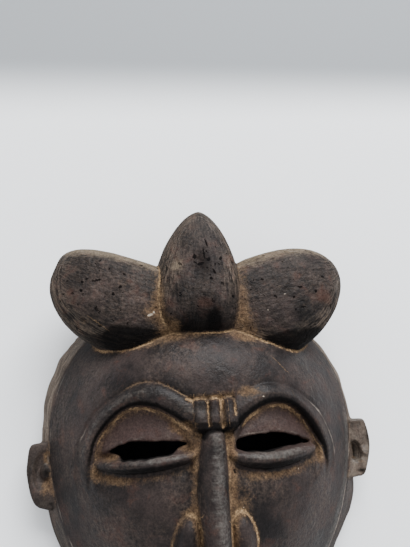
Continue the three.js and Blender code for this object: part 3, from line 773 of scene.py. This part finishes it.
def evened(points, quads, share=0.5):
    """Each vertex moved a share of the way to the middle of its neighbours."""
    ends = np.concatenate([quads, np.roll(quads, -1, axis=1)]).reshape(-1)
    others = np.concatenate([np.roll(quads, -1, axis=1), quads]).reshape(-1)
    counts = np.bincount(ends, minlength=len(points))
    middle = np.stack([np.bincount(ends, points[others, k], len(points)) / counts for k in range(3)], 1)
    return points + share * (middle - points)


def carved_mesh(face, step):
    """The whole carving as vertices and four-sided faces, in millimetres."""
    low = np.array(MESH_BOX.low)
    xs, ys, zs = [np.arange(a, b, step) for a, b in zip(low, MESH_BOX.high)]
    slab, slabs = 24, []
    for start in range(0, len(xs), slab):
        x, y = np.meshgrid(xs[start:start + slab], ys, indexing="ij")
        slabs.append(mask_field(face, x[:, :, None], y[:, :, None], zs[None, None, :]))
    points, quads = surface_quads(np.concatenate(slabs), low, step)
    for _ in range(2):
        points = settled(face, evened(points, quads))
    return settled(face, points), quads


def largest_shell(points, quads):
    """The mesh without loose specks: only the faces joined to the biggest shell."""
    label = np.arange(len(points))
    while True:
        lowest = label[quads].min(1)
        joined = label.copy()
        np.minimum.at(joined, quads.reshape(-1), np.repeat(lowest, 4))
        joined = joined[joined]
        if (joined == label).all():
            break
        label = joined
    keep = label == np.bincount(label).argmax()
    renumbered = np.cumsum(keep) - 1
    return points[keep], renumbered[quads[keep[quads[:, 0]]]]


def add_object(name, data):
    added = bpy.data.objects.new(name, data)
    bpy.context.scene.collection.objects.link(added)
    return added


def read_mesh(mesh):
    """A mesh's vertices and triangles as arrays."""
    points = np.zeros(len(mesh.vertices) * 3)
    mesh.vertices.foreach_get("co", points)
    triangles = np.zeros(len(mesh.polygons) * 3, int)
    mesh.polygons.foreach_get("vertices", triangles)
    return points.reshape(-1, 3), triangles.reshape(-1, 3)


def thinned(face, points, quads, count):
    """Triangles thinned out to a number: most on the back, less on plain fronts, none on the features."""
    triangles = np.concatenate([quads[:, [0, 1, 2]], quads[:, [0, 2, 3]]])
    x, y, z = points.T
    features = (np.abs(x) < FEATURES.half_width) & (y > FEATURES.low) & (y < FEATURES.high)
    features &= z > sampled(face, "height", x, y) - FEATURES.depth
    back = (mask_fields(face, x, y, z)["hollow"] < 1.5) | (z < 1.5)
    mesh = bpy.data.meshes.new("dense")
    mesh.from_pydata(points.tolist(), [], triangles.tolist())
    dense = add_object("dense", mesh)
    back_ratio = 1 - 0.75 * back.mean()
    plain_ratio = count / (len(triangles) * back_ratio)
    for name, chosen, ratio in (("back", back & ~features, back_ratio), ("plain", ~features, plain_ratio)):
        dense.vertex_groups.new(name=name).add(np.flatnonzero(chosen).tolist(), 1, "REPLACE")
        modifier = dense.modifiers.new(name, "DECIMATE")
        modifier.ratio = ratio
        modifier.vertex_group = name
        modifier.use_collapse_triangulate = True
    thin = bpy.data.meshes.new_from_object(dense.evaluated_get(bpy.context.evaluated_depsgraph_get()))
    result = read_mesh(thin)
    bpy.data.objects.remove(dense)
    bpy.data.meshes.remove(mesh)
    bpy.data.meshes.remove(thin)
    return result


def paint_maps(face, points, normals):
    """What each vertex shows: amounts of dust, wear and painted highlight, soot and painted shade, the kind
    of surface, and the thin lines.
    """
    x, y, z = points.T
    _, facing_up, facing_out = normals.T
    parts = mask_fields(face, x, y, z)
    side_lobes = np.minimum(parts["left"], parts["right"])
    hair = np.minimum(parts["crest"], side_lobes)
    hair_edge, lobe_edge = hair - parts["head"], parts["crest"] - side_lobes
    inside = falling(0.2, 1.2, np.abs(parts["hollow"])) * (parts["hollow"] < 2.5)
    raw = np.maximum(inside, falling(0.1, 0.8, z))
    skin = 1 - raw
    on_hair = falling(-0.6, 0.6, hair_edge) * skin
    on_ears = falling(-0.4, 0.6, parts["ears"] - np.minimum(hair, parts["head"])) * skin
    on_head = (1 - on_hair) * (1 - on_ears) * skin
    on_front = on_head * rising(-2.0, 0.0, parts["front"] - parts["wall"])
    paint = {name: sampled(face, name, x, y) * on_front for name in SOFT_MAPS}
    for group in FACE_LINES:
        paint[group] = sampled(face, group, x, y)
        paint[group + "_width"] = sampled(face, group + "_width", x, y) * on_head

    uneven = 0.5 + 0.5 * lattice_noise(51, 7, x, y, z)
    paint["hair_crease"] = hair_edge - 0.7
    paint["hair_crease_width"] = (0.55 + 0.6 * uneven) * skin * rising(-30, 30, y)
    paint["lobe_crease"] = lobe_edge
    paint["lobe_crease_width"] = (0.4 + 0.5 * uneven) * on_hair * (1 - 0.7 * (x > 0))
    near_crease = np.maximum(line(paint["hair_crease"], 4.5), line(lobe_edge, 5.5) * on_hair)
    at_ear_root = line(np.maximum(np.maximum(parts["ears"], parts["head"]), 0), 1.5) * skin
    paint["dust"] += 0.33 * near_crease * skin * (y > 30) * (z > 20)
    paint["dust"] += 0.6 * at_ear_root + (on_hair + on_front) * soft_areas(points.T, HAIR_DUST)
    paint["red"] = soft_areas(points.T, RED_AREAS)

    edge = sampled(face, "edge", x, y)
    broad_edge = line(edge + 3.5, 4.5) * on_front * rising(-10, 20, x) * falling(10, 30, y)
    # Painted light: the upward faces of the lobes and of the ears are made paler; the right ear is paler all
    # over.
    upward = rising(0.1, 0.75, facing_up) * rising(-0.1, 0.3, facing_out)
    lit_lobe_tops = (0.85 - 0.75 * falling(-1, 1, lobe_edge)) * upward * on_hair * rising(26, 46, z)
    paint["worn"] += 0.65 * broad_edge + lit_lobe_tops + soft_areas(points.T, HAIR_WEAR_AND_HIGHLIGHT)
    paint["worn"] += on_ears * (0.5 * rising(0.2, 0.7, facing_up) + 0.35 * (x > 0))

    paint["side"] = falling(0.5, 0.85, facing_out)
    # Painted shade on the downward faces of the hair, and soft areas of soot and painted shade.
    shaded_undersides = falling(-1.0, -0.45, facing_up) * falling(66, 80, y)
    paint["shade_and_soot"] += 0.6 * on_hair * shaded_undersides + soft_areas(points.T, HAIR_SOOT_AND_SHADE)
    # Painted shade below the lower edges of the side lobes' fronts.
    for lobe_front in LOBE_EDGES:
        across, up = np.array(lobe_front, float).T
        beyond = np.maximum(across[0] - x, x - across[-1])
        above = y - np.interp(x, across, up) + 2.4 * uneven - 1.2
        under = falling(-3.0, 3.4, above) * falling(0, 8, beyond)
        paint["shade_and_soot"] += 1.15 * under * on_hair * (z > 30)
    # Dust on the ears, and soot with painted shade in their hollows and along their edges.
    for kind, areas in (("dust", EAR_DUST), ("shade_and_soot", EAR_SOOT_AND_SHADE)):
        paint[kind] += soft_areas((x, y), areas) * on_ears * (z > 12)
    # Painted shade inside the slits, below the face's surface.
    in_slit = (parts["slit"] < 6) * (z > 20)
    paint["shade_and_soot"] += 1.2 * in_slit * rising(1, 3, sampled(face, "height", x, y) - z)
    pale_wall = (0.3 + 0.7 * rising(-35, -5, y)) * (1 - 0.75 * rising(0, 10, x) * falling(-20, 0, y))
    paint["wall"] = on_head * (1 - on_front) * pale_wall + np.where(x > 0, 0.7, 0.15) * on_ears
    paint.update(raw=raw, hair=on_hair)
    paint.update(carving_lines(x, y, z, parts, on_hair))
    return paint


def carving_lines(x, y, z, parts, on_hair):
    """Directions for the strokes of the knife: across and along the outlines of the lobes and the rim."""
    contour, along = z.copy(), np.degrees(np.arctan2(y - FACE.y, x - FACE.x)) * 1.5
    rim, grain_across, grain_along = np.zeros(len(x)), y.copy(), x.copy()
    plans = [crest_plan(x, y), side_lobe_plan(LEFT_LOBE, x, y), side_lobe_plan(RIGHT_LOBE, x, y)]
    nearest = np.stack([parts[name] for name in ("crest", "left", "right")]).argmin(0)
    for index, plan in enumerate(plans):
        px, py, width, length, exponent = plan
        chosen = (nearest == index) & (on_hair > 0.3)
        reach = np.hypot(px, py)
        inward = reach / np.maximum(plan_share(plan), 0.05) - reach
        contour = np.where(chosen, inward + z, contour)
        low_fade = rising(64, 80, y) if index == 0 else 1
        depth = LOBE_RIMS[index]
        rim = np.where(chosen, low_fade * falling(depth * 0.5, depth * 1.5, inward), rim)
        lengthwise, reach, crosswise = (py, length, px) if index == 0 else (px, width, py)
        room = np.clip(1 - np.abs(lengthwise / reach) ** exponent, 0.02, 1) ** (1 / exponent)
        grain_across = np.where(chosen, crosswise / room, grain_across)
        grain_along = np.where(chosen, lengthwise, grain_along)
        along = np.where(chosen, np.degrees(np.arctan2(py, px)) * 0.6 + 200 * index, along)
    return dict(contour=contour, along=along, rim=rim, grain_across=grain_across, grain_along=grain_along)


def mask_object():
    """The carved mask as one mesh in the record's frame, with its paint maps as vertex attributes."""
    face = carved_face()
    points, quads = largest_shell(*carved_mesh(face, MESH_STEP))
    points, triangles = thinned(face, points, quads, TRIANGLES)
    points = settled(face, points)
    mesh = bpy.data.meshes.new("mask_carving")
    mesh.from_pydata(((points - RECORD_ORIGIN) * MM).tolist(), [], triangles.tolist())
    mesh.polygons.foreach_set("use_smooth", np.ones(len(triangles), bool))
    mesh.update()
    normals = np.zeros(len(points) * 3)
    mesh.vertex_normals.foreach_get("vector", normals)
    for name, values in paint_maps(face, points, normals.reshape(-1, 3)).items():
        if name in SOFT_MAPS:
            values = np.clip(values, 0, 1.5)
        mesh.attributes.new(name, "FLOAT", "POINT").data.foreach_set("value", values.astype(np.float32))
    return add_object("mask_carving", mesh)


class Nodes:
    """A small helper that builds the node tree of a material or a world."""

    def __init__(self, owner):
        self.owner = owner
        owner.use_nodes = True
        owner.node_tree.nodes.clear()

    def add(self, kind, inputs=None, **settings):
        node = self.owner.node_tree.nodes.new("ShaderNode" + kind)
        for key, value in settings.items():
            setattr(node, key, value)
        for key, value in (inputs or {}).items():
            if isinstance(value, bpy.types.NodeSocket):
                self.owner.node_tree.links.new(value, node.inputs[key])
            else:
                node.inputs[key].default_value = value
        return node

    def math(self, operation, a, b, clamp=False):
        return self.add("Math", {0: a, 1: b}, operation=operation, use_clamp=clamp).outputs[0]

    def plus(self, a, b, clamp=False):
        return self.math("ADD", a, b, clamp)

    def minus(self, a, b):
        return self.math("SUBTRACT", a, b)

    def times(self, a, b):
        return self.math("MULTIPLY", a, b)

    def most(self, *values):
        """The highest of some values."""
        return functools.reduce(lambda a, b: self.math("MAXIMUM", a, b), values)

    def centred(self, noise, strength):
        """A noise moved to vary about 0, with its strength."""
        return self.times(self.minus(noise, 0.5), strength)

    def vector(self, operation, *values, output="Vector"):
        return self.add("VectorMath", dict(enumerate(values)), operation=operation).outputs[output]

    def noise(self, coordinates, scale, detail=4, roughness=0.55, distortion=0, output="Fac"):
        inputs = {"Vector": coordinates, "Scale": scale, "Detail": detail, "Roughness": roughness,
                  "Distortion": distortion}
        return self.add("TexNoise", inputs).outputs[output]

    def ramp(self, value, low, high, to_low=0.0, to_high=1.0):
        inputs = {"Value": value, "From Min": low, "From Max": high, "To Min": to_low, "To Max": to_high}
        return self.add("MapRange", inputs, interpolation_type="SMOOTHSTEP").outputs["Result"]

    def mix(self, share, a, b, blend="MIX"):
        return self.add("Mix", {0: share, 6: a, 7: b}, data_type="RGBA", blend_type=blend).outputs[2]

    def blend(self, share, a, b):
        return self.add("Mix", {0: share, 2: a, 3: b}).outputs[0]

    def grey(self, value):
        return self.add("CombineColor", {0: value, 1: value, 2: value}).outputs[0]

    def flat(self, across, along):
        return self.add("CombineXYZ", {"X": across, "Y": along}).outputs[0]

    def stretched(self, coordinates, scale, turn=(0, 0, 0)):
        return self.add("Mapping", {"Vector": coordinates, "Scale": scale, "Rotation": turn}).outputs[0]

    def attribute(self, name):
        return self.add("Attribute", attribute_name=name).outputs["Fac"]

    def finish_surface(self, base, roughness, gloss, extra=None):
        inputs = {"Base Color": base, "Roughness": roughness, "Specular IOR Level": gloss, **(extra or {})}
        return self.finish(self.add("BsdfPrincipled", inputs))

    def finish(self, shader, output="OutputMaterial"):
        self.add(output, {"Surface": shader.outputs[0]})
        return self.owner


def linear_tint(name):
    """One of the wood's colours as linear light."""
    levels = [level / 255 for level in TINTS[name]]
    return (*[c / 12.92 if c <= 0.04045 else ((c + 0.055) / 1.055) ** 2.4 for c in levels], 1.0)


def thin_lines(n, groups, wobble):
    """Thin lines, 1 along their middles, and the soft bands beside them, from the values at the vertices."""
    lines, beside = 0.0, 0.0
    for group in groups:
        width = n.attribute(group + "_width")
        off = n.minus(n.math("ABSOLUTE", n.plus(n.attribute(group), wobble), 0.0), width)
        lines = n.most(lines, n.times(n.ramp(off, 0.4, -0.2), n.ramp(width, 0.08, 0.35)))
        beside = n.most(beside, n.times(n.ramp(off, 2.6, 0.0), n.ramp(width, 0.05, 0.25)))
    return lines, beside


def small_marks(n, place, marks):
    """1 inside each small mark."""
    total = 0.0
    for centre, (half_width, half_height), turn in marks:
        at = tuple((np.array(centre) - RECORD_ORIGIN) * MM)
        inputs = {"Vector": place, "Location": at, "Rotation": (0, 0, math.radians(turn)),
                  "Scale": (half_width * MM, half_height * MM, MARK_DEPTH * MM)}
        inner = n.add("Mapping", inputs, vector_type="TEXTURE").outputs["Vector"]
        total = n.most(total, n.ramp(n.vector("LENGTH", inner, output="Value"), 1.25, 0.7))
    return total


def ragged(n, amount, noise, strength, low, high):
    """A soft amount broken up by noise into a patch with ragged edges."""
    return n.ramp(n.plus(amount, n.centred(noise, strength)), low, high)


def patinated_wood():
    """Dark handled wood: brown-black patina, knife strokes on the hair, tan dust in creases, worn edges,
    painted highlights, and painted shade in hollows and under overhangs.
    """
    n = Nodes(bpy.data.materials.new("patinated_wood"))
    tint = {name: linear_tint(name) for name in TINTS}
    place = n.add("TexCoord").outputs["Object"]
    hair, wall, raw, rim = [n.attribute(name) for name in ("hair", "wall", "raw", "rim")]

    # Coordinates that follow the knife strokes, and the noises
    waver = n.times(n.noise(place, 90, 2), 3.4)
    strokes_at = n.flat(n.plus(n.attribute("contour"), waver), n.times(n.attribute("along"), 0.09))
    grain_at = n.flat(n.plus(n.attribute("grain_across"), n.times(waver, 1.6)),
                      n.times(n.attribute("grain_along"), 0.13))
    round_rim = n.noise(strokes_at, 0.8, 3, 0.65)
    lengthwise = n.noise(grain_at, 0.75, 4, 0.7)
    strokes = n.blend(hair, round_rim, n.blend(n.times(rim, 0.8), lengthwise, round_rim))
    bands = n.noise(strokes_at, 0.28, 2, 0.5)
    jitter = n.vector("ADD", n.noise(place, 1000, 2, 0.5, output="Color"), (-0.5, -0.5, -0.5))
    marked = n.vector("MULTIPLY_ADD", jitter, (0.0015, 0.0015, 0.0015), place)
    mottle, patches = n.noise(place, 55, 5), n.noise(place, 110, 6, 0.62, 0.5)
    speckle, crumbs = n.noise(place, 1150, 3, 0.7), n.noise(place, 420, 4, 0.7)
    fine, lumps = n.noise(place, 620, 4, 0.7), n.noise(place, 260, 3, 0.6)
    streaks = n.noise(n.stretched(place, (650, 60, 650)), 1, 3, 0.6)
    fibres = n.noise(n.stretched(place, (70, 800, 800), (0, 0, 0.1)), 1, 3, 0.6)

    # The patina, with reddish wood showing through, knife strokes on the hair and a pale film
    base = n.mix(n.ramp(mottle, 0.38, 0.64), tint["patina"], tint["patina_light"])
    base = n.mix(n.times(n.attribute("lid_skin"), 0.75), base, tint["upper_lid"])
    stroke_tint = n.mix(n.ramp(strokes, 0.41, 0.6), tint["trough"], tint["stroke"])
    stroke_tint = n.mix(n.ramp(bands, 0.4, 0.7, 0.0, 0.5), stroke_tint, tint["band"])
    shown = n.times(n.plus(n.times(rim, 0.75), 0.16), n.ramp(crumbs, 0.3, 0.62, 0.45, 1.0))
    base = n.mix(n.times(hair, shown), base, stroke_tint)
    base = n.mix(hair, base, n.grey(n.ramp(patches, 0.36, 0.64, 0.52, 1.05)), "MULTIPLY")
    red_areas = ragged(n, n.attribute("red"), patches, 1.6, 0.3, 1.0)
    reddish = n.most(n.times(n.ramp(patches, 0.54, 0.7), 0.45), n.times(red_areas, 0.6))
    base = n.mix(reddish, base, tint["red"])
    wall_tint = n.mix(n.ramp(strokes, 0.35, 0.65), tint["wall_dark"], tint["wall_light"])
    base = n.mix(n.times(wall, 0.85), base, wall_tint)
    film_areas, film_grain = n.noise(place, 34, 4, 0.6), n.mix(0.3, fine, streaks)
    film = n.times(n.ramp(film_areas, 0.36, 0.66), n.ramp(film_grain, 0.37, 0.66))
    base = n.mix(n.times(film, 0.46), base, tint["film"])

    # Wear and painted highlights, the raw wood behind and below, and soot and painted shade
    worn = ragged(n, n.attribute("worn"), n.mix(0.5, fibres, crumbs), 1.7, 0.3, 1.05)
    base = n.mix(n.times(worn, 0.55), base, n.mix(hair, tint["worn_face"], tint["worn_hair"]))
    highlight_and_wear_lines, _ = thin_lines(n, ("highlight_and_wear_line",), n.centred(crumbs, 2.0))
    base = n.mix(n.times(highlight_and_wear_lines, n.ramp(mottle, 0.35, 0.6, 0.3, 0.85)), base, tint["highlight_and_wear_line"])
    raw_grain = n.ramp(n.noise(n.stretched(place, (420, 26, 420)), 1), 0.35, 0.65)
    base = n.mix(raw, base, n.mix(raw_grain, tint["raw_dark"], tint["raw_light"]))
    soot_and_shade = ragged(n, n.attribute("shade_and_soot"), n.mix(0.5, crumbs, patches), 1.5, 0.28, 1.0)
    base = n.mix(n.times(soot_and_shade, 0.92), base, tint["soot_and_shade"])

    # Dust: bright crusts in the creases and softer areas around them
    lines, beside = thin_lines(n, DUST_LINES, n.centred(crumbs, 2.6))
    lines = n.times(lines, n.ramp(n.noise(place, 95, 2), 0.34, 0.54, 0.4, 1.0))
    scattered = n.most(n.attribute("dust"), n.times(beside, 0.55))
    areas = n.times(ragged(n, scattered, n.mix(0.5, fine, crumbs), 2.0, 0.3, 1.2), 0.74)
    bright = n.most(lines, n.times(small_marks(n, marked, SCRATCHES), 0.5))
    dusty = n.most(bright, areas)
    shade = n.ramp(n.noise(place, 300, 3), 0.3, 0.7)
    dust_tint = n.mix(bright, n.mix(shade, tint["dust_low"], tint["dust_high"]),
                      n.mix(shade, tint["crust_low"], tint["crust_high"]))
    base = n.mix(n.times(dusty, n.ramp(speckle, 0.3, 0.65, 0.5, 0.95)), base, dust_tint)

    # Grain, pores and pits painted near-black as the shade inside them, and pale specks
    base = n.mix(1.0, base, n.grey(n.ramp(speckle, 0.25, 0.75, 0.66, 1.4)), "MULTIPLY")
    pores = n.times(n.ramp(n.noise(place, 300, 2, 0.5), 0.335, 0.29), 0.8)
    shaded_pits_and_pores = n.most(small_marks(n, marked, PITS), n.times(pores, hair))
    base = n.mix(n.times(shaded_pits_and_pores, 0.95), base, tint["hole"])
    base = n.mix(n.times(small_marks(n, marked, PALE_SPECKS), 0.7), base, tint["speck"])

    # Low relief
    stroked = n.most(n.times(hair, n.plus(n.times(rim, 0.7), 0.3)), wall)
    relief = n.times(n.plus(strokes, n.times(bands, 0.5)), n.times(stroked, 0.8))
    relief = n.plus(relief, n.times(crumbs, n.plus(n.times(hair, 0.5), 0.35)))
    relief = n.plus(relief, n.times(lumps, n.plus(n.times(hair, 1.5), 0.8)))
    relief = n.minus(n.plus(relief, n.times(speckle, 0.26)), shaded_pits_and_pores)
    bump = n.add("Bump", {"Height": relief, "Strength": 0.7, "Distance": 0.0008}).outputs["Normal"]

    # Dust, raw wood and hair are matt; soot and painted shade, holes, troughs between strokes and side walls
    # are duller still
    matt = n.most(dusty, raw, n.times(hair, 0.3))
    roughness = n.plus(n.ramp(mottle, 0.3, 0.7, 0.36, 0.52), n.times(matt, 0.35), clamp=True)
    troughs = n.times(n.plus(n.times(rim, 0.75), 0.25), n.ramp(strokes, 0.55, 0.42, 0.0, 0.75))
    walls = n.times(n.attribute("side"), 0.8)
    dull = n.most(soot_and_shade, shaded_pits_and_pores, n.times(dusty, 0.7), n.times(hair, troughs), walls)
    roughness = n.plus(roughness, n.times(dull, 0.55), clamp=True)
    return n.finish_surface(base, roughness, 0.13, {"Normal": bump})


def floor_material():
    """A pale floor, grey beyond the mask, and with a painted shadow under its hollow, where only the slits
    show it.
    """
    n = Nodes(bpy.data.materials.new("pale_floor"))
    place = n.add("TexCoord").outputs["Object"]
    apart = n.add("SeparateXYZ", {0: place}).outputs
    beyond = n.minus(apart["Y"], n.times(apart["X"], FLOOR.far_turn))
    base = n.mix(n.ramp(beyond, FLOOR.far_from, FLOOR.far_to), FLOOR.pale, FLOOR.far)
    # Painted shadow in a patch under the mask's hollow.
    from_middle = n.vector("LENGTH", place, output="Value")
    base = n.mix(n.ramp(from_middle, *FLOOR.hidden_edge), base, FLOOR.hidden)
    return n.finish_surface(base, 0.8, 0.2)


def add_floor():
    mesh = bpy.data.meshes.new("floor")
    size = FLOOR.half_size
    corners = [(-size, -size, 0), (size, -size, 0), (size, size, 0), (-size, size, 0)]
    mesh.from_pydata(corners, [], [(0, 1, 2, 3)])
    mesh.materials.append(floor_material())
    add_object("floor", mesh)


def add_camera():
    data = bpy.data.cameras.new("camera")
    camera = add_object("camera", data)
    right, up = Vector(CAMERA_RIGHT).normalized(), Vector(CAMERA_UP).normalized()
    turn = Matrix((right, up, right.cross(up))).transposed()
    place = (Vector(CAMERA_PLACE) - Vector(RECORD_ORIGIN)) * MM
    camera.matrix_world = Matrix.Translation(place) @ turn.to_4x4()
    data.sensor_width = 36
    data.lens = FOCAL_PIXELS * data.sensor_width / max(PHOTO_SIZE)
    data.clip_start = 0.01
    bpy.context.scene.camera = camera


def add_sky():
    world = bpy.data.worlds.new("studio")
    bpy.context.scene.world = world
    n = Nodes(world)
    height = n.add("SeparateXYZ", {0: n.add("TexCoord").outputs["Generated"]}).outputs["Z"]
    share = n.add("MapRange", {"Value": height, "From Min": SKY.low, "From Max": SKY.high}).outputs[0]
    shade = n.mix(share, SKY.horizon, SKY.overhead)
    n.finish(n.add("Background", {"Color": shade, "Strength": SKY.strength}), "OutputWorld")


def add_window():
    data = bpy.data.lights.new("window", "AREA")
    data.shape = "RECTANGLE"
    data.size, data.size_y = WINDOW.size
    data.energy, data.color = WINDOW.power, WINDOW.tint
    light = add_object("window", data)
    place = Vector(WINDOW.place)
    light.location = place
    light.rotation_euler = (Vector(WINDOW.target) - place).to_track_quat("-Z", "Y").to_euler()


add_camera()
add_sky()
add_window()
add_floor()

carving = mask_object()
carving.data.materials.append(patinated_wood())
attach(carving, "root")
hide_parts("mask")

bpy.context.view_layer.update()
